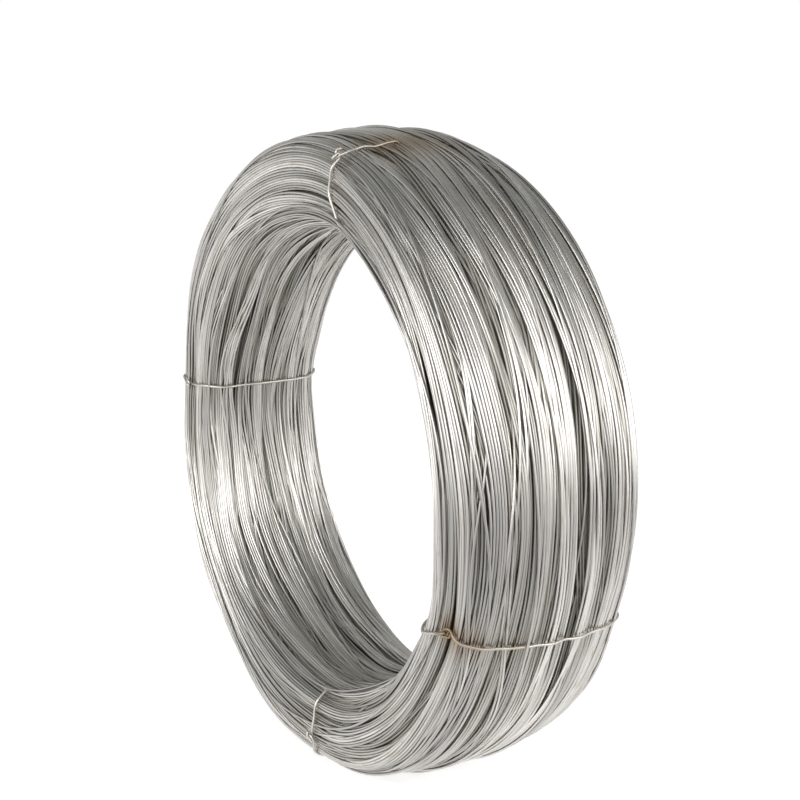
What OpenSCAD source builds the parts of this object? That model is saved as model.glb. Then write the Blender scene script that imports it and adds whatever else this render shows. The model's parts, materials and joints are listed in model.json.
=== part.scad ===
// Coil of galvanized iron wire, tied at four places.
// Millimetres, +Z up. The coil stands on its rim: its axis lies along Y, the origin is the
// centre of its bore, and the end that carries the tie knots faces -Y.
//
// The wound bundle is one turned solid. Its rounded lays, each a rope of several turns lying
// side by side, run round both ends and the outer side. The bore is left smooth, because
// that is where the spindle of a pay-off stand goes.

/* [Coil] */
// Outer diameter over the crown of the bundle
coil_outer_d = 400; // [360:1:480]
// Diameter of the bore
bore_d = 287; // [240:1:296]
// Width of the coil, from end to end
coil_width = 110; // [90:1:140]
// How far the outer side falls from its crown to the edges of the ends
crown_fall = 17; // [12:0.5:20]
// Fullness of the crown towards the end with the knots (2 is an ellipse)
near_fullness = 2.4; // [2:0.05:3]
// Fullness of the crown towards the other end
far_fullness = 2.9; // [2:0.05:3]
// Radius of the rounded edges of the bore
bore_edge_r = 24; // [15:0.5:28]

/* [Lays] */
// Mean width of one lay of turns, measured along the outline
lay_w = 8.8; // [7:0.2:12]
// Depth of the deepest grooves between lays
lay_groove = 2.1; // [1.2:0.1:2.1]
// Least depth of a groove, as a share of the deepest
groove_share = 0.6; // [0.5:0.05:1]

/* [Ties] */
// Diameter of the tie wire
tie_d = 1.65; // [1.2:0.05:2]
// Clearance round a tie in its channel
tie_gap = 0.3; // [0.2:0.05:0.5]
// How far a tie lies below the crests of the lays
tie_sink = 0.25; // [0.2:0.05:0.4]
// Angle of the top tie round the coil, from +X towards +Z
top_angle = 73; // [60:1:100]
// Angle of the back tie
back_angle = 168; // [150:1:180]
// Angle of the bottom tie
bottom_angle = 270; // [255:1:285]
// Angle of the front tie
front_angle = 336; // [320:1:350]

/* [Knots] */
// Radius of the eye at one end of a tie, along the middle of its wire
eye_r = 3; // [2.8:0.1:3.6]
// Distance of a knot's middle from the edge between the crown and the end
knot_back = 5; // [3:0.5:8]

/* [Hidden] */
$fn = 96;

outer_r = coil_outer_d / 2;
bore_r = bore_d / 2;
half_w = coil_width / 2;
tie_r = tie_d / 2;
tie_angles = [top_angle, back_angle, bottom_angle, front_angle];

// ---- Outline of the section ----
// Points are [radius, height along the coil's axis]. The outline starts at the far end of
// the bore's straight wall, and runs over the far end, the crown and the near end back to
// the near end of that wall. The wall itself closes it.

function signed_power(x, p) = sign(x) * pow(abs(x), p);

edge_steps = 12;
crown_steps = 60;
shoulder_r = outer_r - crown_fall;
// The bore's edges are rounded as far as the flat of the ends lets them
end_flat = 2;
edge_r = min(bore_edge_r, shoulder_r - bore_r - end_flat);
wall_half = half_w - edge_r;

// Rounded edge of the bore on side +1 (near) or -1 (far), from the wall (0) to the end (90)
function bore_edge_point(turn, side) = [
    bore_r + edge_r * (1 - cos(turn)),
    side * (wall_half + edge_r * sin(turn))
];

// Crown, a half oval from the far shoulder (0) to the near shoulder (180)
function crown_point(turn) =
    let (fullness = turn < 90 ? far_fullness : near_fullness)
    [shoulder_r + crown_fall * signed_power(sin(turn), 2 / fullness),
     -half_w * signed_power(cos(turn), 2 / fullness)];

outline = concat(
    [for (i = [0:edge_steps]) bore_edge_point(90 * i / edge_steps, -1)],
    [for (i = [0:crown_steps]) crown_point(180 * i / crown_steps)],
    [for (i = [edge_steps:-1:0]) bore_edge_point(90 * i / edge_steps, 1)],
    [bore_edge_point(0, -1)]
);

// Distance along the outline to each of its points
distances = [for (i = 0, d = 0; i < len(outline);
    i = i + 1, d = i < len(outline) ? d + norm(outline[i] - outline[i - 1]) : d) d];
radius_table = [for (i = [0:len(outline) - 1]) [distances[i], outline[i][0]]];
height_table = [for (i = [0:len(outline) - 1]) [distances[i], outline[i][1]]];

wound_length = distances[len(outline) - 2];
closed_length = distances[len(outline) - 1];
knot_at = distances[edge_steps + 1 + crown_steps] - knot_back;

function wrapped(s) = s - closed_length * floor(s / closed_length);
function outline_at(s) =
    [lookup(wrapped(s), radius_table), lookup(wrapped(s), height_table)];

// Direction along the outline and the direction out of the bundle
slope_step = 0.6;
function along(s) =
    let (d = outline_at(s + slope_step) - outline_at(s - slope_step)) d / norm(d);
function outward(s) = let (a = along(s)) [a[1], -a[0]];
function inset_point(s, depth) = outline_at(s) - depth * outward(s);

// ---- Bundle ----

lays = round(wound_length / lay_w);
lay_steps = 10;
bundle_steps = lays * lay_steps;
// The lays differ in width and their grooves in depth, in cycles of a few lays
width_swing = 0.14;
width_cycle = 5;
depth_cycle = 3.4;
channel_depth = tie_sink + tie_d + tie_gap;
channel_w = tie_d + 2 * tie_gap;

// Place counted in lays. Its ends stay whole numbers, so a crest meets the bore's wall.
function lay_place(s) =
    let (place = lays * s / wound_length, ends = sin(180 * s / wound_length))
    place + width_swing * ends * sin(360 * place / width_cycle);

// Rounded crests and sharp valleys
function groove_depth(s) =
    let (place = lay_place(s),
         share = 0.5 + 0.5 * cos(360 * floor(place) / depth_cycle))
    lay_groove * (groove_share + (1 - groove_share) * share) * (1 - abs(cos(180 * place)));

// Outline of the bundle, cut back by the grooves between its lays
function bundle_outline() = [
    for (i = [0:bundle_steps])
        let (s = wound_length * i / bundle_steps)
        i == 0 || i == bundle_steps ? outline_at(s) : inset_point(s, groove_depth(s))
];

// Outline of what the bottoms of the tie channels reach
function core_outline() = [
    for (i = [0:bundle_steps / 2])
        let (s = wound_length * i / (bundle_steps / 2))
        i == 0 || i == bundle_steps / 2
            ? [bore_r + channel_depth, outline_at(s)[1]]
            : inset_point(s, channel_depth)
];

module tie_slot(angle) {
    reach = outer_r - bore_r + 2 * channel_depth;
    height = coil_width + 2 * channel_depth;
    rotate([0, 0, angle])
        translate([bore_r - channel_depth, -channel_w / 2, -height / 2])
            cube([reach, channel_w, height]);
}

module wire_coil() {
    color([0.66, 0.66, 0.65]) {
        difference() {
            rotate_extrude() polygon(bundle_outline());
            for (angle = tie_angles) tie_slot(angle);
        }
        rotate_extrude() polygon(core_outline());
    }
}

// ---- Ties ----
// Each tie is one wire. One end is bent into an open eye that lies on the bundle, and the
// other end comes up through the eye and hooks back over it. A tie's points are
// [across the tie, radius, height], with the across axis along the coil's turns.

run_steps = 64;
eye_steps = 14;
eye_turn = 255;
hook_steps = 8;
jog_steps = 6;
jog_length = 8;
rise_length = 5;
eye_lift = tie_r + tie_gap;
hook_r = tie_d + tie_gap;
hook_tail = 2.5;

// A point over the knot: how far across, along the outline and above the crests
function over_knot(across, forward, up) =
    let (p = outline_at(knot_at) + forward * along(knot_at) + up * outward(knot_at))
    [across, p[0], p[1]];

function eased(t) = t * t * (3 - 2 * t);

// Hook: its tail, then half a turn over the eye's wire and down into the channel
hook_points = concat(
    [over_knot(0, eye_r + hook_tail, eye_lift + hook_r - tie_gap)],
    [for (i = [0:hook_steps])
        let (turn = 90 + 180 * i / hook_steps)
        over_knot(0, eye_r + hook_r * cos(turn), eye_lift + hook_r * sin(turn))]
);

// Run in the channel, from beyond the hook round the bundle to the foot of the eye
tie_depth = tie_sink + tie_r;
run_start = knot_at + eye_r + hook_r;
run_length = closed_length - eye_r - hook_r - jog_length - rise_length;
run_points = [
    for (i = [0:run_steps])
        let (s = run_start + run_length * i / run_steps,
             p = wrapped(s) > wound_length
                 ? [bore_r + tie_depth, outline_at(s)[1]]
                 : inset_point(s, tie_depth))
        [0, p[0], p[1]]
];

// The wire rises out of the channel, then steps aside to the rim of the eye
rise_points = [
    for (i = [1:jog_steps])
        let (t = i / jog_steps,
             s = knot_at - jog_length - rise_length * (1 - t),
             p = inset_point(s, tie_depth - (tie_depth + eye_lift) * eased(t)))
        [0, p[0], p[1]]
];
jog_points = [
    for (i = [1:jog_steps - 1])
        let (t = i / jog_steps,
             s = knot_at - jog_length * (1 - t),
             p = inset_point(s, -eye_lift))
        [eye_r * eased(t), p[0], p[1]]
];
eye_points = [
    for (i = [0:eye_steps])
        let (turn = eye_turn * i / eye_steps)
        over_knot(eye_r * cos(turn), eye_r * sin(turn), eye_lift)
];

tie_points = concat(hook_points, run_points, rise_points, jog_points, eye_points);

// ---- Round wire swept along points ----

wire_sides = 8;

function unit(v) = v / norm(v);
function headings(points) = [
    for (i = [0:len(points) - 1])
        unit(points[min(i + 1, len(points) - 1)] - points[max(i - 1, 0)])
];
function squared(v, heading) = unit(v - (v * heading) * heading);

// A side direction carried along the wire without twist
function side_directions(turned, first) = [
    for (i = 0, n = squared(first, turned[0]); i < len(turned);
        i = i + 1, n = i < len(turned) ? squared(n, turned[i]) : n) n
];

module round_wire(points, r, first_side) {
    turned = headings(points);
    sides = side_directions(turned, first_side);
    last = len(points) - 1;
    rings = [
        for (i = [0:last], k = [0:wire_sides - 1])
            let (a = 360 * k / wire_sides)
            points[i] + r * (cos(a) * sides[i] + sin(a) * cross(turned[i], sides[i]))
    ];
    walls = [
        for (i = [0:last - 1], k = [0:wire_sides - 1])
            let (a = i * wire_sides + k, b = i * wire_sides + (k + 1) % wire_sides)
            [a, a + wire_sides, b + wire_sides, b]
    ];
    ends = [
        [for (k = [0:wire_sides - 1]) k],
        [for (k = [wire_sides - 1:-1:0]) last * wire_sides + k]
    ];
    polyhedron(rings, concat(walls, ends), convexity = 8);
}

// The tie's points stand in the half plane at angle 0, with the turns' direction as across
module tie(angle) {
    placed = [for (p = tie_points) [p[1], -p[0], p[2]]];
    color([0.72, 0.71, 0.69])
        rotate([0, 0, angle])
            round_wire(placed, tie_r, [0, 1, 0]);
}

module tie_top() { tie(top_angle); }
module tie_back() { tie(back_angle); }
module tie_bottom() { tie(bottom_angle); }
module tie_front() { tie(front_angle); }

// Turns the coil's own frame, with its axis upward, to stand on its rim
module upright() { rotate([90, 0, 0]) children(); }

upright() wire_coil();
upright() tie_top();
upright() tie_back();
upright() tie_bottom();
upright() tie_front();
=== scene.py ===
"""Looks of the coil of galvanized iron wire, in metres, in the part's own frame.

The coil's axis lies along Y. An angle round the coil is measured from +X towards +Z. The section
of the bundle is drawn in the plane [radius, y], and the wires are laid in layers under it.
"""

import json
import math

import bpy
import numpy as np
from mathutils import Matrix, Vector


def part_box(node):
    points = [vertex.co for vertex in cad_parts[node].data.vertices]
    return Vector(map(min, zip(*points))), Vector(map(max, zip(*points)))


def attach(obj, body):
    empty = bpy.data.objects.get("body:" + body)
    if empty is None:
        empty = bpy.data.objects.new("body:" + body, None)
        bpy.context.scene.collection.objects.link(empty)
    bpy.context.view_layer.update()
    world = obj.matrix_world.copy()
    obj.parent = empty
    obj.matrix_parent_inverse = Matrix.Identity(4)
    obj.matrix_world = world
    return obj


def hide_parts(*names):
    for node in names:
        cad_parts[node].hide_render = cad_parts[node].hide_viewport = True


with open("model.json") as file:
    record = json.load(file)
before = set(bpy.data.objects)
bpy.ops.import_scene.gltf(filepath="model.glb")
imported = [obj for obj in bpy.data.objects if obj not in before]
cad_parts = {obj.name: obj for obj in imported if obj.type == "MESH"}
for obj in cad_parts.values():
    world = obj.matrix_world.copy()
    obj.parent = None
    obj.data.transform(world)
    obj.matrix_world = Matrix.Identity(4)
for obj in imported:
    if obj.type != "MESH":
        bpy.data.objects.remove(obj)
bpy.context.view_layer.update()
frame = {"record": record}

MM = 0.001
WIRE_R = 0.825 * MM
WIRE_D = 2 * WIRE_R
TIES = ("tie_top", "tie_back", "tie_bottom", "tie_front")

coil_low, coil_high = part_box("wire_coil")
OUTER_R = (coil_high.z - coil_low.z) / 2
HALF_W = (coil_high.y - coil_low.y) / 2
BORE_R = frame["record"]["mounts"][0]["dims"]["r_mm"] * MM
FLOOR_Z = coil_low.z


def tie_angle(node):
    """Angle round the coil of a tie, from the middle of its box."""
    low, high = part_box(node)
    middle = (low + high) / 2
    return math.atan2(middle.z, middle.x)


TIE_ANGLES = {node: tie_angle(node) for node in TIES}

# ---- Section of the bundle ----

MEAN_WIDTH = 0.968               # mean half width as a share of the solid's
WIDTH_SWING = 0.079              # the bundle is wider by this share on one side of the coil, and
                                 # narrower by it on the opposite side
WIDEST_AT = math.radians(-5)
SHOULDER_SHARE = 0.697           # where the section is widest, from the bore (0) to the crown (1)
FULLNESS_OUTER = (2.9, 2.4)      # fullness of the crown towards +Y and towards -Y
FULLNESS_INNER = (3.1, 4.1)      # the same on the bore's side
CURVE_POINTS = 8001
OUTLINE_STEP = 0.25 * MM
SLOPE_SPAN = 2                   # steps to either side over which the outline's slope is taken
BEND_SPAN = 4                    # the same for its bend
TIGHTEST_BEND = 7 * MM           # the least radius that counts as bend
SWELL = 0.8 * MM                 # how far the bundle stands out between its ties
SQUEEZE = {                      # how far each tie pulls the bundle in
    "tie_top": 1.0 * MM,
    "tie_back": 2.4 * MM,
    "tie_bottom": 2.4 * MM,
    "tie_front": 2.4 * MM,
}
SQUEEZE_SPREAD = math.radians(13)


def signed_power(x, p):
    return np.sign(x) * np.abs(x) ** p


def section_curve():
    """Radius and y of the closed outline, from the bore over +Y, the crown and -Y to the bore."""
    turn = np.linspace(-math.pi / 2, 1.5 * math.pi, CURVE_POINTS)
    c, s = np.cos(turn), np.sin(turn)
    far, outer = c >= 0, s >= 0
    fullness = np.where(
        outer,
        np.where(far, *FULLNESS_OUTER),
        np.where(far, *FULLNESS_INNER),
    )
    shoulder_r = BORE_R + SHOULDER_SHARE * (OUTER_R - BORE_R)
    reach = np.where(outer, OUTER_R - shoulder_r, shoulder_r - BORE_R)
    radius = shoulder_r + reach * signed_power(s, 2 / fullness)
    y = MEAN_WIDTH * HALF_W * signed_power(c, 2 / fullness)
    return radius, y


def central_change(values, span):
    """Change of a closed row of values from span steps before each one to span steps after."""
    return np.roll(values, -span) - np.roll(values, span)


def make_outline():
    """The outline at even steps: radius, y, outward normal, bend and direction."""
    radius, y = section_curve()
    along = np.concatenate([[0], np.cumsum(np.hypot(np.diff(radius), np.diff(y)))])
    count = int(round(along[-1] / OUTLINE_STEP))
    even = np.arange(count) * along[-1] / count
    radius, y = np.interp(even, along, radius), np.interp(even, along, y)
    step = along[-1] / count
    d_r = central_change(radius, SLOPE_SPAN) / (2 * SLOPE_SPAN * step)
    d_y = central_change(y, SLOPE_SPAN) / (2 * SLOPE_SPAN * step)
    size = np.hypot(d_r, d_y)
    heading = np.unwrap(np.arctan2(d_y, d_r))
    bend = -central_change(heading, BEND_SPAN) / (2 * BEND_SPAN * step)
    bend[:BEND_SPAN] = bend[BEND_SPAN]
    bend[-BEND_SPAN:] = bend[-BEND_SPAN - 1]
    return {
        "length": along[-1], "step": step, "count": count,
        "radius": radius, "y": y, "n_r": -d_y / size, "n_y": d_r / size,
        "bend": np.clip(bend, 0, 1 / TIGHTEST_BEND), "d_r": d_r / size, "d_y": d_y / size,
    }


OUTLINE = make_outline()
GIRTH = OUTLINE["length"]


def width_at(angle):
    """Width of the bundle at an angle round the coil, as a share of the mean."""
    return 1 + WIDTH_SWING * np.cos(angle - WIDEST_AT)


def swelling(angle):
    """How far the bundle stands out from its outline. It is less than 0 where a tie pulls it in."""
    pulled = 0
    for node, tie in TIE_ANGLES.items():
        away = (angle - tie + math.pi) % (2 * math.pi) - math.pi
        pulled = pulled + SQUEEZE[node] * np.exp(-(away / SQUEEZE_SPREAD) ** 2)
    return SWELL - pulled


def look_up(name, u):
    """A value of the outline at distance u along it, read between its steps."""
    place = (u / OUTLINE["step"]) % OUTLINE["count"]
    low = np.floor(place).astype(int) % OUTLINE["count"]
    share = place - np.floor(place)
    table = OUTLINE[name]
    return table[low] * (1 - share) + table[(low + 1) % OUTLINE["count"]] * share


def on_bundle(u, depth, angle):
    """Point in space at distance u along the section, at a depth under it, and its normal."""
    n_r, n_y = look_up("n_r", u), look_up("n_y", u)
    size = np.hypot(n_r, n_y)
    n_r, n_y = n_r / size, n_y / size
    depth = depth - swelling(angle)
    radius = look_up("radius", u) - depth * n_r
    y = look_up("y", u) * width_at(angle) - depth * n_y
    c, s = np.cos(angle), np.sin(angle)
    point = np.stack([radius * c, y, radius * s], -1)
    normal = np.stack([n_r * c, n_y, n_r * s], -1)
    return point, normal


# ---- Turns of wire ----

SLICES = 144
ANGLES = 2 * math.pi * np.arange(SLICES) / SLICES
# The layers of turns, from the last ones wound down to the deepest that gaps can show: how far
# each lies under the outline, how far its turns typically drift sideways, how many ropes they
# form, and how many sides their round wire has
LAYERS = {
    "loose": {"turns": 9, "under": -1.45 * MM, "drift": 5.0 * MM, "ropes": 0, "sides": 8},
    "top": {"turns": 157, "under": 0.0 * MM, "drift": 2.6 * MM, "ropes": 42, "sides": 8},
    "middle": {"turns": 150, "under": 1.4 * MM, "drift": 3.0 * MM, "ropes": 30, "sides": 6},
    "deep": {"turns": 120, "under": 2.8 * MM, "drift": 3.0 * MM, "ropes": 14, "sides": 4},
}
TOUCH = 0.93 * WIRE_D            # wires of a layer bed into each other by the rest
ROPE_EDGE_RANGE = (0.1, 0.9)     # where a rope's edge lies in its share of the layer's turns
GAPS_PER_ROPE = 6
GAP_JITTER = 0.35                # how unevenly they are spaced, as a share of their spacing
GAP_REACH = (0.03, 0.13)         # half the length of a gap, in turns
GAP_WIDEST = 2.4 * MM            # before the gaps of a layer are scaled to fill what it leaves
GAP_SIZES = (0.35, 1.0)          # their square is a gap's width as a share of the widest
ROPE_ROUNDING = 0.52             # how far the wires beside a gap sink, as a share of the gap
ROUNDING_SHARES = (0.55, 0.2)    # what the next wire and the one after it get of that
ROUNDING_LIMIT = 4.5 * MM        # the widest gap that counts for it
EXCURSIONS = 24                  # ropes that leave their place for part of a turn
EXCURSION_TURNS = (2, 6)         # turns in such a rope, the second number not included
EXCURSION_REACH = (0.06, 0.16)   # half its length, in turns
EXCURSION_VARIATION = (0.95, 1.05)
EXCURSION_SHIFT = (4 * MM, 11 * MM)
EXCURSION_RISE = 1.0 * MM
VALLEYS = 130
VALLEY_JITTER = 0.4              # how unevenly they are spaced, as a share of their spacing
VALLEY_REACH = (0.15, 0.6)       # half the length, in radians round the coil
VALLEY_DRIFT = 18 * MM           # the most that a valley moves sideways in each radian
VALLEY_HALF_WIDTH = (1.4 * MM, 3.2 * MM)
VALLEY_DEPTH = (1.0 * MM, 3.0 * MM)
SWAY = 0.5 * MM                  # sideways waves, narrower than the drift
ROPE_WAVE = 0.55 * MM            # height of the ropes' waves round the coil
WIRE_WAVE = 0.34 * MM            # height of single wires' waves
# Waves are sums of sines: how many, and the range of their cycles round the coil and across the
# turns of a layer. Those of single wires have cycles of two to three turns.
DRIFT_WAVES = {"count": 6, "around": (1, 4), "across": (0, 3)}
SWAY_WAVES = {"count": 6, "around": (3, 8), "across": (6, 20)}
ROPE_WAVES = {"count": 14, "around": (2, 7), "across": (8, 30)}
WIRE_WAVES = {"count": 14, "around": (3, 9)}
TIE_PINCH = 0.9 * MM             # how much deeper the turns lie right under a tie
TIE_PINCH_SPREAD = math.radians(4)
TIE_CLOSING = 0.5                # how far a tie closes the gaps under it
TIE_CLOSING_SPREAD = math.radians(7)
NEIGHBOURS = 7                   # a wire is pushed by this many on either side
TINY = 1e-9                      # keeps a division by a distance of 0 away
SETTLING_ROUNDS = 110
PUSH_SHARE = 0.7                 # share of a push that a wire takes in one round
RETURN_ALONG = 0.035             # share of the way back to where it wants to lie, along the
RETURN_DEPTH = 0.045             # section and in depth, that it takes in one round
SMOOTHING = 0.5                  # share of the way to the mean of its neighbours on the wire
VALLEY_SEED = 8
LAYER_SEED = 11                  # of the first layer, with one more for each next one


def near_ties(spread):
    """1 at a tie's angle, falling to 0 away from it."""
    total = np.zeros(SLICES)
    for angle in TIE_ANGLES.values():
        away = (ANGLES - angle + math.pi) % (2 * math.pi) - math.pi
        total += np.exp(-(away / spread) ** 2)
    return np.minimum(total, 1)


def lens(turns, middle, reach):
    """A long tapering bump along a layer's wire, 1 high at its middle. Lengths are in turns."""
    place = np.arange(turns * SLICES) / SLICES
    away = (place - middle + turns / 2) % turns - turns / 2
    return (np.clip(1 - (away / reach) ** 2, 0, None) ** 1.5).reshape(turns, SLICES)


def lens_gaps(turns, ropes, rng):
    """Long tapering gaps between a turn and the next one, as [turn, slice]."""
    gap = np.zeros((turns, SLICES))
    for rope in range(ropes):
        edge = math.floor((rope + rng.uniform(*ROPE_EDGE_RANGE)) * turns / ropes)
        start = rng.uniform()
        for k in range(GAPS_PER_ROPE):
            jitter = rng.uniform(-GAP_JITTER, GAP_JITTER)
            middle = edge + (start + (k + jitter) / GAPS_PER_ROPE) % 1
            widest = GAP_WIDEST * rng.uniform(*GAP_SIZES) ** 2
            gap += widest * lens(turns, middle, rng.uniform(*GAP_REACH))
    return gap


def excursions(turns, rng):
    """Ropes that run across their neighbours for part of a turn: shift and rise of each turn."""
    shift, rise = np.zeros((turns, SLICES)), np.zeros((turns, SLICES))
    for _ in range(EXCURSIONS):
        first = rng.integers(0, turns)
        middle = rng.uniform()
        reach = rng.uniform(*EXCURSION_REACH)
        size = rng.uniform(*EXCURSION_SHIFT) * rng.choice((-1, 1))
        for k in range(rng.integers(*EXCURSION_TURNS)):
            bump = lens(turns, first + k + middle, reach * rng.uniform(*EXCURSION_VARIATION))
            shift += size * bump
            rise += EXCURSION_RISE * bump ** 0.5
    return shift, rise


def make_valleys(rng):
    """Short slanting valleys of the bundle, that every layer follows."""
    valleys = []
    for k in range(VALLEYS):
        valleys.append({
            "along": GIRTH * (k + rng.uniform(-VALLEY_JITTER, VALLEY_JITTER)) / VALLEYS,
            "angle": rng.uniform(0, 2 * math.pi),
            "drift": rng.uniform(-VALLEY_DRIFT, VALLEY_DRIFT),
            "reach": rng.uniform(*VALLEY_REACH),
            "half_width": rng.uniform(*VALLEY_HALF_WIDTH),
            "deep": rng.uniform(*VALLEY_DEPTH),
        })
    return valleys


def valley_depth(along, valleys):
    """Depth that the valleys give each place of a layer."""
    total = np.zeros_like(along)
    for valley in valleys:
        turned = (ANGLES - valley["angle"] + math.pi) % (2 * math.pi) - math.pi
        length = np.clip(1 - (turned / valley["reach"]) ** 2, 0, None)
        middle = valley["along"] + valley["drift"] * turned
        across = (along - middle[None, :] + GIRTH / 2) % GIRTH - GIRTH / 2
        total += valley["deep"] * length[None, :] * np.exp(-(across / valley["half_width"]) ** 2)
    return total


def waves(turns, size, rng, count, around, across):
    """A smooth random field over a layer. Size is its root mean square."""
    place = np.arange(turns * SLICES).reshape(turns, SLICES) / SLICES / turns
    field = np.zeros((turns, SLICES))
    for _ in range(count):
        cycles = rng.integers(around[0], around[1] + 1)
        over = rng.integers(across[0], across[1] + 1) * rng.choice((-1, 1))
        phase = rng.uniform(0, 2 * math.pi)
        field += np.sin(cycles * ANGLES[None, :] + 2 * math.pi * over * place + phase)
    return field * size * math.sqrt(2 / count)


def spread_over(values, shares):
    """Adds shares of each turn's value to the turns beside it."""
    total = values.copy()
    for k, share in enumerate(shares, 1):
        both = np.roll(values.ravel(), k * SLICES) + np.roll(values.ravel(), -k * SLICES)
        total += share * both.reshape(values.shape)
    return total


def lay_ropes(layer, along, depth, rng):
    """Gathers a layer's turns into ropes, with gaps between them and some that run across."""
    turns = layer["turns"]
    gap = lens_gaps(turns, layer["ropes"], rng)
    gap *= 1 - TIE_CLOSING * near_ties(TIE_CLOSING_SPREAD)[None, :]
    gap *= (GIRTH - turns * TOUCH) / gap.sum(0)[None, :]
    packed = np.cumsum(TOUCH + gap, 0) - TOUCH - gap
    along = packed + (along - packed).mean(0)[None, :]
    beside = gap + np.roll(gap.ravel(), SLICES).reshape(gap.shape)
    depth += ROPE_ROUNDING * np.minimum(spread_over(beside, ROUNDING_SHARES), ROUNDING_LIMIT)
    shift, rise = excursions(turns, rng)
    along += shift
    depth -= rise
    return along, depth


def lay_layer(layer, valleys, rng):
    """Where a layer's turns want to lie: distance along the section and depth."""
    turns = layer["turns"]
    index = np.arange(turns * SLICES).reshape(turns, SLICES) / SLICES
    along = index * GIRTH / turns
    depth = np.full((turns, SLICES), WIRE_R + layer["under"])
    if layer["ropes"]:
        along, depth = lay_ropes(layer, along, depth, rng)
    along += waves(turns, layer["drift"], rng, **DRIFT_WAVES)
    along += waves(turns, SWAY, rng, **SWAY_WAVES)
    depth += waves(turns, ROPE_WAVE, rng, **ROPE_WAVES)
    depth += waves(turns, WIRE_WAVE, rng, across=(turns // 3, turns // 2), **WIRE_WAVES)
    depth += valley_depth(along, valleys)
    pressed = TIE_PINCH - min(layer["under"], 0)
    depth += pressed * near_ties(TIE_PINCH_SPREAD)[None, :]
    return along, depth


def push_pairs(u, d, stretch, bend, k):
    """How far each wire is pushed by the one k places before it and the one k places after."""
    next_u = np.roll(u, -k, 0)
    next_u[-k:] += GIRTH
    next_d = np.roll(d, -k, 0)
    scale = stretch * (1 - 0.5 * (d + next_d) * bend)
    du = (next_u - u) * scale
    dd = next_d - d
    apart = np.hypot(du, dd) + TINY
    overlap = np.clip(TOUCH - apart, 0, None)
    shift_u = 0.5 * overlap * du / apart / scale
    shift_d = 0.5 * overlap * dd / apart
    return np.roll(shift_u, k, 0) - shift_u, np.roll(shift_d, k, 0) - shift_d


def push_apart(along, depth):
    """How far overlapping wires push each other, in each slice round the coil."""
    wrapped = along % GIRTH
    order = np.argsort(wrapped, 0)
    u = np.take_along_axis(wrapped, order, 0)
    d = np.take_along_axis(depth, order, 0)
    place = (u / OUTLINE["step"]).astype(int) % OUTLINE["count"]
    wide = width_at(ANGLES)[None, :]
    stretch = np.hypot(OUTLINE["d_r"][place], OUTLINE["d_y"][place] * wide)
    bend = OUTLINE["bend"][place]
    push_u, push_d = np.zeros_like(u), np.zeros_like(d)
    for k in range(1, NEIGHBOURS + 1):
        more_u, more_d = push_pairs(u, d, stretch, bend, k)
        push_u += more_u
        push_d += more_d
    out_u, out_d = np.empty_like(u), np.empty_like(d)
    np.put_along_axis(out_u, order, push_u, 0)
    np.put_along_axis(out_d, order, push_d, 0)
    return out_u, out_d


def smooth_chain(values, turns, jump):
    """Evens a value along each layer's wire, whose last turn runs on into its first by a jump."""
    start = 0
    for count in turns:
        block = values[start:start + count].ravel()
        before = np.roll(block, 1)
        after = np.roll(block, -1)
        before[0] -= jump
        after[-1] += jump
        block = block + SMOOTHING * (0.5 * (before + after) - block)
        values[start:start + count] = block.reshape(count, SLICES)
        start += count


def settle_turns():
    """Lays every layer, then lets the wires push each other apart, round after round."""
    valleys = make_valleys(np.random.default_rng(VALLEY_SEED))
    targets = [
        lay_layer(layer, valleys, np.random.default_rng(LAYER_SEED + k))
        for k, layer in enumerate(LAYERS.values())
    ]
    turns = [layer["turns"] for layer in LAYERS.values()]
    along = np.concatenate([t[0] for t in targets])
    depth = np.concatenate([t[1] for t in targets])
    wanted_u, wanted_d = along.copy(), depth.copy()
    for _ in range(SETTLING_ROUNDS):
        du, dd = push_apart(along, depth)
        along += PUSH_SHARE * du + RETURN_ALONG * (wanted_u - along)
        depth += PUSH_SHARE * dd + RETURN_DEPTH * (wanted_d - depth)
        smooth_chain(along, turns, GIRTH)
        smooth_chain(depth, turns, 0)
    start, laid = 0, {}
    for name, count in zip(LAYERS, turns):
        laid[name] = (along[start:start + count], depth[start:start + count])
        start += count
    return laid


# ---- Meshes ----


def new_mesh(name, points, faces, smooth=True):
    mesh = bpy.data.meshes.new(name)
    mesh.from_pydata(points.tolist(), [], faces)
    mesh.polygons.foreach_set("use_smooth", np.full(len(faces), smooth))
    mesh.update()
    piece = bpy.data.objects.new(name, mesh)
    bpy.context.scene.collection.objects.link(piece)
    return piece


def add_value(piece, name, values):
    """Stores a value at each point, for the materials to read."""
    attribute = piece.data.attributes.new(name, "FLOAT", "POINT")
    attribute.data.foreach_set("value", values.astype(np.float32))


def unit(v):
    return v / np.linalg.norm(v, axis=-1, keepdims=True)


def tube(points, side, radius, sides):
    """Points and faces of a round wire through the points. Side gives where each ring starts."""
    heading = unit(np.gradient(points, axis=0))
    side = unit(side - (side * heading).sum(-1, keepdims=True) * heading)
    other = np.cross(heading, side)
    turn = 2 * math.pi * np.arange(sides) / sides
    c, s = np.cos(turn)[None, :, None], np.sin(turn)[None, :, None]
    ring = c * side[:, None] + s * other[:, None]
    verts = points[:, None] + radius * ring
    first = (np.arange(len(points) - 1) * sides)[:, None]
    a = np.arange(sides)[None, :]
    b = (a + 1) % sides
    faces = np.stack([first + a, first + b, first + sides + b, first + sides + a], -1)
    return verts.reshape(-1, 3), faces.reshape(-1, 4).tolist()


TRIANGLE_LIMIT = 190000          # of one piece
SHADE_SEED = 40                  # of the first layer, with one more for each next one
TURNS_PER_SHADE = 2.8            # turns beside each other share part of their shade
ROPE_SHADE_SHARE = 0.7
SHADE_CONTRAST = 2.0


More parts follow.
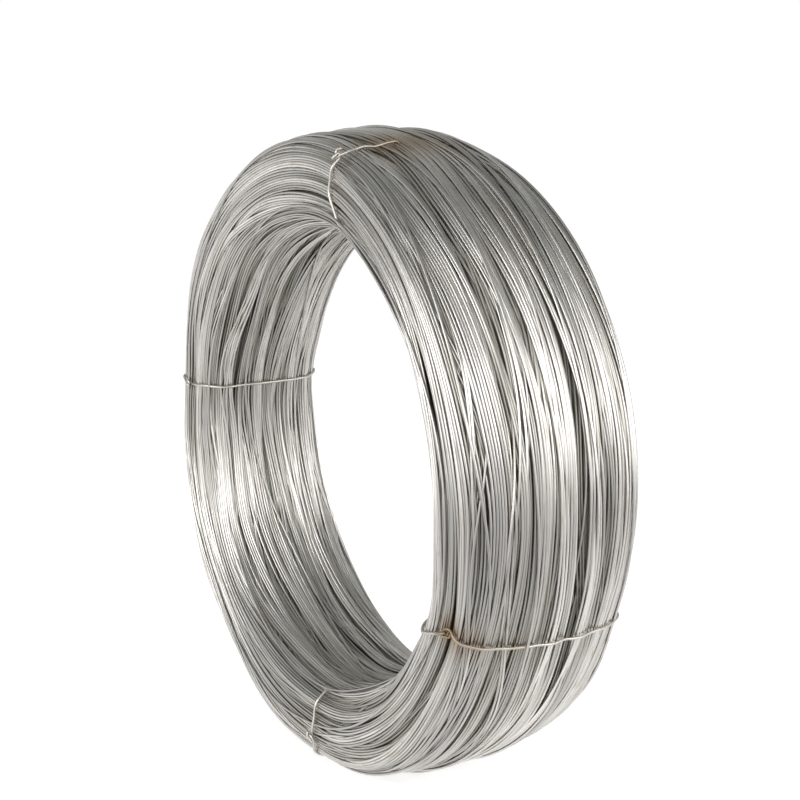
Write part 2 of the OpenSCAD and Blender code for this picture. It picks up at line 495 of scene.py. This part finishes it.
def strand_values(count, rng):
    """A shade for each place along a wire: partly the wire's own, partly its rope's."""
    place = np.arange(count * SLICES + 1) / SLICES
    own = np.interp(place, np.arange(count + 2), rng.uniform(0, 1, count + 2))
    knots = rng.uniform(0, 1, int(count / TURNS_PER_SHADE) + 3)
    rope = np.interp(place / TURNS_PER_SHADE, np.arange(len(knots)), knots)
    shade = (1 - ROPE_SHADE_SHARE) * own + ROPE_SHADE_SHARE * rope
    return np.clip(0.5 + SHADE_CONTRAST * (shade - 0.5), 0, 1)


def stain_at(points, stains):
    """Strength of the stains at each point: 1 in the middle of a strong one."""
    total = np.zeros(len(points))
    for middle, reach, strength in stains:
        away = np.linalg.norm(points - middle, axis=-1)
        total += strength * np.exp(-(away / reach) ** 2)
    return np.minimum(total, 1)


def build_turns(name, along, depth, sides, stains, rng):
    """The wire of one layer as a tube, cut into pieces that stay under the limit of triangles."""
    count = along.shape[0]
    u = np.append(along.ravel(), along[0, 0] + GIRTH)
    d = np.append(depth.ravel(), depth[0, 0])
    angle = np.append(np.tile(ANGLES, count), 0)
    points, normals = on_bundle(u, d, angle)
    shade = strand_values(count, rng)
    stain = stain_at(points, stains)
    per_piece = TRIANGLE_LIMIT // (2 * sides)
    parts = math.ceil((len(points) - 1) / per_piece)
    edges = np.linspace(0, len(points) - 1, parts + 1).astype(int)
    made = []
    for k in range(parts):
        cut = slice(edges[k], edges[k + 1] + 1)
        verts, faces = tube(points[cut], normals[cut], WIRE_R, sides)
        piece = new_mesh(f"{name}_{k + 1}" if parts > 1 else name, verts, faces)
        add_value(piece, "strand", np.repeat(shade[cut], sides))
        # depth in wires, which the material also turns into painted shade
        add_value(piece, "depth", np.repeat(d[cut] / WIRE_D, sides))
        add_value(piece, "stain", np.repeat(stain[cut], sides))
        made.append(piece)
    return made


CORE_DEPTH = 7 * MM
CORE_STEPS = (96, 120)           # round the coil and along the section


def build_core():
    """The inside of the bundle, a smooth ring under the deepest turns, coloured in painted shade.
    """
    around, across = CORE_STEPS
    angle = 2 * math.pi * np.arange(around) / around
    near = near_ties(TIE_PINCH_SPREAD)
    pinch = np.interp(angle, np.append(ANGLES, 2 * math.pi), np.append(near, 0))
    a, u = np.meshgrid(angle, GIRTH * np.arange(across) / across, indexing="ij")
    points, _ = on_bundle(u, CORE_DEPTH + TIE_PINCH * pinch[:, None], a)
    i, j = np.meshgrid(np.arange(around), np.arange(across), indexing="ij")
    i2, j2 = (i + 1) % around, (j + 1) % across
    faces = np.stack([i * across + j, i * across + j2, i2 * across + j2, i2 * across + j], -1)
    return new_mesh("bundle_core", points.reshape(-1, 3), faces.reshape(-1, 4).tolist())


# ---- Ties ----

TIE_SIDES = 12
TIE_SHADE = 0.9
TIE_GAP = 0.1 * MM               # between the wires of a knot
EYE_R = 2.7 * MM
EYE_TURN = math.radians(285)
EYE_STEPS = 26
HOOK_R = WIRE_D + TIE_GAP
HOOK_STEPS = 13
HOOK_TAIL = 2.6 * MM
TAIL_RISE = 0.8                  # height of the tail's end, in radii of the hook
JOG_LENGTH = 9 * MM              # length in which the wire steps aside to the eye's rim
JOG_STEPS = 12
RUN_STEP = 1 * MM
BED_STEP = 0.5 * MM
TAUT_SPAN = 7                    # steps to either side over which a tie spans hollows
SUNK_DEPTH = 4.6 * MM            # how deep a tie runs where turns have slipped over it
SUNK_EDGE = 4 * MM               # length in which it goes down to that
TIE_SMOOTHING_ROUNDS = 2
# The form of each tie. Distances run along the section, from the crown over the -Y end to the
# bore.
#   knot: from the section's widest place towards -Y
#   lean: how far the tie leans round the coil, in degrees, at the three middle LEAN_PLACES
#   sunk: stretches where turns have slipped over it, from its knot
#   eye_side: the side of the tie on which the eye starts, +1 being towards greater angles
#   eye_tilt: how far the eye is tipped up from lying flat
TIE_SHAPES = {
    "tie_top": {
        "knot": -12.5 * MM,
        "lean": (-1.5, -1.8, -8.0),
        "sunk": ((-112 * MM, -37 * MM), (38 * MM, 75 * MM)),
        "eye_side": -1,
        "eye_tilt": math.radians(55),
    },
    "tie_back": {
        "knot": 7.5 * MM,
        "lean": (1.8, 0.4, 0.0),
        "sunk": (),
        "eye_side": 1,
        "eye_tilt": 0,
    },
    "tie_bottom": {
        "knot": 3.5 * MM,
        "lean": (0.2, 0.9, 1.2),
        "sunk": ((36 * MM, 106 * MM),),
        "eye_side": 1,
        "eye_tilt": 0,
    },
    "tie_front": {
        "knot": 2.5 * MM,
        "lean": (1.8, -4.2, -4.5),
        "sunk": (),
        "eye_side": 1,
        "eye_tilt": 0,
    },
}
# Brown stains: a tie, the distance from its knot, the reach and the strength
STAINS = (
    ("tie_front", 0 * MM, 9 * MM, 0.9),
    ("tie_front", -18 * MM, 10 * MM, 0.45),
    ("tie_front", -42 * MM, 8 * MM, 0.35),
    ("tie_top", -44 * MM, 26 * MM, 0.75),
)
LEAN_PLACES = (-50 * MM, 0, 22 * MM, 45 * MM, 80 * MM)   # from the knot, with no lean at the ends
NEAR_SHOULDER = OUTLINE["step"] * np.argmin(OUTLINE["y"])


def tie_place(node, u):
    """Angle round the coil of a tie at distance u along the section."""
    shape = TIE_SHAPES[node]
    away = (u - NEAR_SHOULDER - shape["knot"] + GIRTH / 2) % GIRTH - GIRTH / 2
    lean = np.interp(away, LEAN_PLACES, (0, *shape["lean"], 0))
    return TIE_ANGLES[node] + np.radians(lean)


def crests_under(node, u, laid):
    """Depth of the highest wire under a tie, at each distance u along the section."""
    slice_at = tie_place(node, u) / (2 * math.pi) * SLICES % SLICES
    low = slice_at.astype(int)
    share = slice_at - low
    bed = np.full(len(u), np.inf)
    for along, depth in (laid["top"], laid["middle"]):
        next_along = np.append(along.ravel()[1:], along[0, 0] + GIRTH).reshape(along.shape)
        next_depth = np.append(depth.ravel()[1:], depth[0, 0]).reshape(depth.shape)
        at_u = along[:, low] * (1 - share) + next_along[:, low] * share
        at_d = depth[:, low] * (1 - share) + next_depth[:, low] * share
        away = (at_u - u[None, :] + GIRTH / 2) % GIRTH - GIRTH / 2
        crest = at_d - np.sqrt(np.clip(WIRE_R ** 2 - away ** 2, 0, None))
        bed = np.minimum(bed, np.where(np.abs(away) < WIRE_R, crest, np.inf).min(0))
    return bed


def tie_bed(node, laid):
    """Depth at which a taut wire rests on the turns under it, at even steps along the section."""
    shape = TIE_SHAPES[node]
    u = np.arange(0, GIRTH, BED_STEP)
    bed = crests_under(node, u, laid)
    beside = range(-TAUT_SPAN, TAUT_SPAN + 1)
    taut = np.min([np.roll(bed, k) for k in beside], 0)
    even = np.mean([np.roll(taut, k) for k in beside], 0)
    rest = np.minimum(even, bed) - WIRE_R
    for start, end in shape["sunk"]:
        past = (u - NEAR_SHOULDER - shape["knot"] - start) % GIRTH
        inside = np.clip(np.minimum(past, end - start - past) / SUNK_EDGE, 0, 1)
        rest += SUNK_DEPTH * inside * inside * (3 - 2 * inside)
    return u, rest


# The parts of a tie's wire are points (along, across, up), measured from its knot


def tie_hook():
    """The tail and the hook, which bends back over the eye's wire."""
    turn = np.radians(np.linspace(90, 270, HOOK_STEPS))
    hook = np.stack([EYE_R + HOOK_R * np.cos(turn), 0 * turn, WIRE_D + HOOK_R * np.sin(turn)], -1)
    tail = np.array([(EYE_R + HOOK_TAIL, 0, WIRE_D + TAIL_RISE * HOOK_R)])
    return np.concatenate([tail, hook])


def tie_eye(side, tilt):
    """The jog to the rim of the eye, and the eye."""
    hinge = EYE_R * (1 - math.cos(tilt))
    raised = EYE_R * math.sin(tilt)
    t = np.linspace(0, 1, JOG_STEPS)[:-1]
    ease = t * t * (3 - 2 * t)
    forward = GIRTH - EYE_R - JOG_LENGTH * (1 - t) + (EYE_R + hinge) * t
    jog = np.stack([forward, side * EYE_R * ease, raised * ease], -1)
    turn = np.linspace(0, EYE_TURN, EYE_STEPS)
    lift = WIRE_D * (0.5 + 0.5 * np.sin(turn)) + TIE_GAP + raised * (1 - np.sin(turn))
    forward = hinge + EYE_R * math.cos(tilt) * np.sin(turn)
    eye = np.stack([GIRTH + forward, side * EYE_R * np.cos(turn), lift], -1)
    return np.concatenate([jog, eye])


def tie_route(node):
    """The whole wire: hook, run round the section, eye."""
    shape = TIE_SHAPES[node]
    start, end = EYE_R + 2 * HOOK_R, GIRTH - EYE_R - JOG_LENGTH
    run = np.stack([np.arange(start, end, RUN_STEP)] * 3, -1) * (1, 0, 0)
    return np.concatenate([tie_hook(), run, tie_eye(shape["eye_side"], shape["eye_tilt"])])


def carried_sides(points, first):
    """A side direction carried along the points without twist."""
    heading = unit(np.gradient(points, axis=0))
    sides = [first]
    for h in heading:
        side = sides[-1] - (sides[-1] @ h) * h
        sides.append(side / np.linalg.norm(side))
    return np.array(sides[1:])


def tie_points(node, laid):
    """Points in space of a tie's wire, and how deep each lies, in wires."""
    bed_u, bed = tie_bed(node, laid)
    route = tie_route(node)
    knot = NEAR_SHOULDER + TIE_SHAPES[node]["knot"]
    u = knot + route[:, 0]
    depth = np.interp(u % GIRTH, np.append(bed_u, GIRTH), np.append(bed, bed[0])) - route[:, 2]
    angle = tie_place(node, u) + route[:, 1] / look_up("radius", u)
    points, _ = on_bundle(u, depth, angle)
    for _ in range(TIE_SMOOTHING_ROUNDS):
        points[1:-1] = 0.25 * points[:-2] + 0.5 * points[1:-1] + 0.25 * points[2:]
    return points, np.clip(depth, 0, None) / WIRE_D


def find_stains():
    """Middle in space, reach and strength of each stain."""
    stains = []
    for node, away, reach, strength in STAINS:
        u = NEAR_SHOULDER + TIE_SHAPES[node]["knot"] + away
        middle, _ = on_bundle(np.array([u]), np.array([0.0]), tie_place(node, np.array([u])))
        stains.append((middle[0], reach, strength))
    return stains


def build_tie(node, points, depth, stains):
    """A tie's wire as a tube with closed ends."""
    across = np.array([-math.sin(TIE_ANGLES[node]), 0, math.cos(TIE_ANGLES[node])])
    verts, faces = tube(points, carried_sides(points, across), WIRE_R, TIE_SIDES)
    last = len(verts) - TIE_SIDES
    faces.append(list(range(TIE_SIDES))[::-1])
    faces.append([last + k for k in range(TIE_SIDES)])
    piece = new_mesh(f"{node}_wire", verts, faces)
    add_value(piece, "strand", np.full(len(verts), TIE_SHADE))
    # depth in wires, which the material also turns into painted shade
    add_value(piece, "depth", np.repeat(depth, TIE_SIDES))
    add_value(piece, "stain", np.repeat(stain_at(points, stains), TIE_SIDES))
    return piece


# ---- Materials ----


def new_material(name):
    material = bpy.data.materials.new(name)
    material.use_nodes = True
    nodes, links = material.node_tree.nodes, material.node_tree.links
    return material, nodes, links, nodes["Principled BSDF"]


def add_attribute(nodes, name):
    node = nodes.new("ShaderNodeAttribute")
    node.attribute_name = name
    return node.outputs["Fac"]


def add_range(nodes, links, source, start, end, low, high, smooth=False):
    """A value that runs from low to high while the source runs from start to end."""
    node = nodes.new("ShaderNodeMapRange")
    node.interpolation_type = "SMOOTHSTEP" if smooth else "LINEAR"
    for name, value in zip(("From Min", "From Max", "To Min", "To Max"), (start, end, low, high)):
        node.inputs[name].default_value = value
    links.new(source, node.inputs["Value"])
    return node.outputs["Result"]


def add_mix(nodes, links, factor, first, second):
    """Mixes two colours, each a socket or a fixed colour."""
    node = nodes.new("ShaderNodeMix")
    node.data_type = "RGBA"
    links.new(factor, node.inputs["Factor"])
    for name, value in (("A", first), ("B", second)):
        if isinstance(value, tuple):
            node.inputs[name].default_value = (*value, 1)
        else:
            links.new(value, node.inputs[name])
    return node.outputs["Result"]


def add_noise(nodes, links, scale, detail, shift=None):
    """Noise in the object's own space. A shift gives each wire its own pattern."""
    place = nodes.new("ShaderNodeTexCoord")
    node = nodes.new("ShaderNodeTexNoise")
    node.noise_dimensions = "4D"
    node.inputs["Scale"].default_value = scale
    node.inputs["Detail"].default_value = detail
    links.new(place.outputs["Object"], node.inputs["Vector"])
    if shift is not None:
        links.new(shift, node.inputs["W"])
    return node.outputs["Fac"]


def add_relief(nodes, links, source, height, under=None):
    """Relief of a height, on top of the relief under it if there is any."""
    node = nodes.new("ShaderNodeBump")
    node.inputs["Strength"].default_value = 1
    node.inputs["Distance"].default_value = height
    links.new(source, node.inputs["Height"])
    if under is not None:
        links.new(under, node.inputs["Normal"])
    return node.outputs["Normal"]


BEND_HEIGHT = 0.4 * MM           # slight bends of the wires, as relief
SKIN_HEIGHT = 0.02 * MM          # roughness of their zinc skin
BEND_NOISE = {"scale": 22, "detail": 0}
SKIN_NOISE = {"scale": 900, "detail": 2}
PATCH_NOISE = {"scale": 28, "detail": 3}
STRAND_SHIFT = (0, 1, 0, 9)      # places in the noise for strand values from 0 to 1
# Ranges for add_range: the source's start and end, then the result at each
WORN_RANGE = (0.52, 0.72, 0, 0.7)     # share of worn zinc, by the patches' noise
PAINTED_SHADE_RANGE = (0.5, 2.0, 0, 0.85)      # share of the painted shade, by depth in wires
METAL_RANGE = (1.3, 2.8, 1, 0.25)     # metallic, by depth in wires
ROUGH_PATCHES = (0.3, 0.7)            # patches' noise from the smoothest to the roughest zinc
WORN_ZINC = (0.45, 0.415, 0.36)
# Painted shade: the colour that wires take the deeper they lie, standing in for the shade in gaps
# and under the top turns
PAINTED_DEPTH_SHADE = (0.26, 0.25, 0.215)
STAIN = (0.27, 0.18, 0.10)
# Painted shade: the core stands for the hidden turns and is coloured as if they lay in deep shade
CORE_PAINTED_SHADE = (0.2, 0.19, 0.165)
CORE_ROUGHNESS = 0.8
COIL_LOOK = {"dull": (0.47, 0.46, 0.44), "bright": (0.81, 0.78, 0.75), "rough": (0.27, 0.42)}
TIE_LOOK = {"dull": (0.42, 0.385, 0.345), "bright": (0.6, 0.565, 0.52), "rough": (0.38, 0.55)}


def wire_material(name, dull, bright, rough):
    """Galvanized wire: each turn has its own tone, with dull patches and a rough skin. Deeper wires
    get painted shade.
    """
    material, nodes, links, shader = new_material(name)
    strand = add_attribute(nodes, "strand")
    depth = add_attribute(nodes, "depth")
    shift = add_range(nodes, links, strand, *STRAND_SHIFT)
    patches = add_noise(nodes, links, **PATCH_NOISE, shift=shift)
    color = add_mix(nodes, links, strand, dull, bright)
    worn = add_range(nodes, links, patches, *WORN_RANGE)
    color = add_mix(nodes, links, worn, color, WORN_ZINC)
    # painted shade: the wires darken with their depth in the bundle
    painted_shade_share = add_range(nodes, links, depth, *PAINTED_SHADE_RANGE)
    color = add_mix(nodes, links, painted_shade_share, color, PAINTED_DEPTH_SHADE)
    color = add_mix(nodes, links, add_attribute(nodes, "stain"), color, STAIN)
    links.new(color, shader.inputs["Base Color"])
    metallic = add_range(nodes, links, depth, *METAL_RANGE)
    links.new(metallic, shader.inputs["Metallic"])
    roughness = add_range(nodes, links, patches, *ROUGH_PATCHES, *rough)
    links.new(roughness, shader.inputs["Roughness"])
    bends = add_noise(nodes, links, **BEND_NOISE, shift=shift)
    skin = add_noise(nodes, links, **SKIN_NOISE)
    relief = add_relief(nodes, links, bends, BEND_HEIGHT)
    relief = add_relief(nodes, links, skin, SKIN_HEIGHT, relief)
    links.new(relief, shader.inputs["Normal"])
    return material


# The core's material is a painted shade, not the colour of the zinc wire it stands for
def painted_core_material():
    material, _, _, shader = new_material("bundle_core_painted_shade")
    shader.inputs["Base Color"].default_value = (*CORE_PAINTED_SHADE, 1)
    shader.inputs["Roughness"].default_value = CORE_ROUGHNESS
    return material


# ---- Studio ----

VIEW_AZIMUTH = math.radians(59.7)      # from -Y towards +X
VIEW_ELEVATION = math.radians(10.25)
VIEW_ROLL = math.radians(2.17)
VIEW_DISTANCE = 0.96
VIEW_LENS = 68.1
VIEW_SHIFT = (0.0345, 0.0638)
VIEW_CLIP = (0.01, 100)


def add_camera():
    a, e = VIEW_AZIMUTH, VIEW_ELEVATION
    back = Vector((math.sin(a) * math.cos(e), -math.cos(a) * math.cos(e), math.sin(e)))
    right = Vector((math.cos(a), math.sin(a), 0))
    up = back.cross(right)
    c, s = math.cos(VIEW_ROLL), math.sin(VIEW_ROLL)
    right, up = c * right - s * up, s * right + c * up
    data = bpy.data.cameras.new("camera")
    data.lens = VIEW_LENS
    data.shift_x, data.shift_y = VIEW_SHIFT
    data.clip_start, data.clip_end = VIEW_CLIP
    camera = bpy.data.objects.new("camera", data)
    camera.matrix_world = Matrix.Translation(VIEW_DISTANCE * back) @ Matrix(
        (
            (right.x, up.x, back.x, 0),
            (right.y, up.y, back.y, 0),
            (right.z, up.z, back.z, 0),
            (0, 0, 0, 1),
        )
    )
    bpy.context.scene.collection.objects.link(camera)
    bpy.context.scene.camera = camera


# Softboxes, placed by azimuth from +X towards +Y and height above the horizon, in degrees
SOFTBOX_DISTANCE = 8.0
SOFTBOXES = {
    "left_box": {"azimuth": 287, "height": 22, "wide": 54, "high": 26, "level": 4.6},
    "right_box": {"azimuth": 15, "height": 19, "wide": 60, "high": 26, "level": 3.7},
}
ROOM_HEIGHTS = (0.5, 0.57, 0.66, 0.93, 1.0)    # 0.5 is the horizon and 1 is overhead
ROOM_COLORS = (
    (1.0, 1.0, 1.0),
    (1.0, 1.0, 1.0),
    (0.47, 0.485, 0.48),
    (0.47, 0.485, 0.48),
    (0.1, 0.11, 0.11),
)
FLOOR_HALF = 4.0
FLOOR_GREY = 0.62
FLOOR_ROUGHNESS = 0.9
FLOOR_SPECULAR = 0.1
FLOOR_GLOW = 0.66
UNLIT_SPOT_AWAY = 2.0            # a round part of the floor in front of the coil doesn't glow
UNLIT_SPOT_EDGE = (1.45, 1.95)   # radii between which the glow fades in


def add_softbox(name, azimuth, height, wide, high, level):
    """A soft lamp that faces the coil, with its size in degrees as the coil sees it."""
    a, h = math.radians(azimuth), math.radians(height)
    toward = Vector((math.cos(a) * math.cos(h), math.sin(a) * math.cos(h), math.sin(h)))
    data = bpy.data.lights.new(name, "AREA")
    data.shape = "RECTANGLE"
    data.size = 2 * SOFTBOX_DISTANCE * math.tan(math.radians(wide / 2))
    data.size_y = 2 * SOFTBOX_DISTANCE * math.tan(math.radians(high / 2))
    data.energy = level * math.pi * data.size * data.size_y
    lamp = bpy.data.objects.new(name, data)
    lamp.location = SOFTBOX_DISTANCE * toward
    lamp.rotation_euler = toward.to_track_quat("Z", "Y").to_euler()
    lamp.visible_camera = False
    bpy.context.scene.collection.objects.link(lamp)


def add_backdrop_rays(nodes, links):
    """1 for the rays that show the backdrop: camera, glossy and transmission rays."""
    seen = nodes.new("ShaderNodeLightPath")
    total = nodes.new("ShaderNodeMath")
    total.operation = "ADD"
    links.new(seen.outputs["Is Camera Ray"], total.inputs[0])
    links.new(seen.outputs["Is Glossy Ray"], total.inputs[1])
    both = nodes.new("ShaderNodeMath")
    both.operation = "ADD"
    both.use_clamp = True
    links.new(total.outputs["Value"], both.inputs[0])
    links.new(seen.outputs["Is Transmission Ray"], both.inputs[1])
    return both


def add_world():
    """A white backdrop all round, and a darker room above it."""
    world = bpy.data.worlds.new("studio")
    world.use_nodes = True
    nodes, links = world.node_tree.nodes, world.node_tree.links
    place = nodes.new("ShaderNodeTexCoord")
    parts = nodes.new("ShaderNodeSeparateXYZ")
    links.new(place.outputs["Generated"], parts.inputs["Vector"])
    rise = nodes.new("ShaderNodeMapRange")
    rise.inputs["From Min"].default_value = -1
    links.new(parts.outputs["Z"], rise.inputs["Value"])
    ramp = nodes.new("ShaderNodeValToRGB")
    elements = ramp.color_ramp.elements
    while len(elements) < len(ROOM_HEIGHTS):
        elements.new(0.5)
    for element, height, color in zip(elements, ROOM_HEIGHTS, ROOM_COLORS):
        element.position = height
        element.color = (*color, 1)
    links.new(rise.outputs["Result"], ramp.inputs["Fac"])
    room = nodes["Background"]
    links.new(ramp.outputs["Color"], room.inputs["Color"])
    room.inputs["Strength"].default_value = 1
    bpy.context.scene.world = world


def add_floor():
    """A pale floor that glows, but for a round part of it, wherever it is seen or mirrored."""
    half = FLOOR_HALF
    corners = [(-half, -half), (half, -half), (half, half), (-half, half)]
    points = np.array([(x, y, FLOOR_Z) for x, y in corners])
    floor = new_mesh("floor", points, [(0, 1, 2, 3)], smooth=False)
    material, nodes, links, shader = new_material("pale_floor")
    shader.inputs["Base Color"].default_value = (FLOOR_GREY, FLOOR_GREY, FLOOR_GREY, 1)
    shader.inputs["Roughness"].default_value = FLOOR_ROUGHNESS
    shader.inputs["Specular IOR Level"].default_value = FLOOR_SPECULAR
    shader.inputs["Emission Color"].default_value = (1, 1, 1, 1)
    toward_view = (math.sin(VIEW_AZIMUTH), -math.cos(VIEW_AZIMUTH))
    place = nodes.new("ShaderNodeTexCoord")
    away = nodes.new("ShaderNodeVectorMath")
    away.operation = "DISTANCE"
    away.inputs[1].default_value = (*(UNLIT_SPOT_AWAY * c for c in toward_view), FLOOR_Z)
    links.new(place.outputs["Object"], away.inputs[0])
    glow = add_range(nodes, links, away.outputs["Value"], *UNLIT_SPOT_EDGE, 0, FLOOR_GLOW, True)
    strength = nodes.new("ShaderNodeMath")
    strength.operation = "MULTIPLY"
    links.new(add_backdrop_rays(nodes, links).outputs["Value"], strength.inputs[0])
    links.new(glow, strength.inputs[1])
    links.new(strength.outputs["Value"], shader.inputs["Emission Strength"])
    floor.data.materials.append(material)


# ---- The whole ----


def build_bundle(laid, stains):
    """The turns and the core under them, which stand for the CAD's bundle."""
    wire = wire_material("coil_wire_zinc", **COIL_LOOK)
    pieces = []
    for k, (name, layer) in enumerate(LAYERS.items()):
        rng = np.random.default_rng(SHADE_SEED + k)
        pieces += build_turns(f"turns_{name}", *laid[name], layer["sides"], stains, rng)
    for piece in pieces:
        piece.data.materials.append(wire)
    core = build_core()
    core.data.materials.append(painted_core_material())
    for piece in [*pieces, core]:
        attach(piece, "root")
        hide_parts("wire_coil")


def build_ties(laid, stains):
    """The ties, which rest on the turns of the bundle."""
    tie = wire_material("tie_wire_zinc", **TIE_LOOK)
    for node in TIES:
        piece = build_tie(node, *tie_points(node, laid), stains)
        piece.data.materials.append(tie)
        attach(piece, "root")
        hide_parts(node)


def main():
    bpy.context.scene.view_settings.view_transform = "Standard"
    add_camera()
    add_world()
    add_floor()
    for name, box in SOFTBOXES.items():
        add_softbox(name, **box)
    laid = settle_turns()
    stains = find_stains()
    build_bundle(laid, stains)
    build_ties(laid, stains)


main()
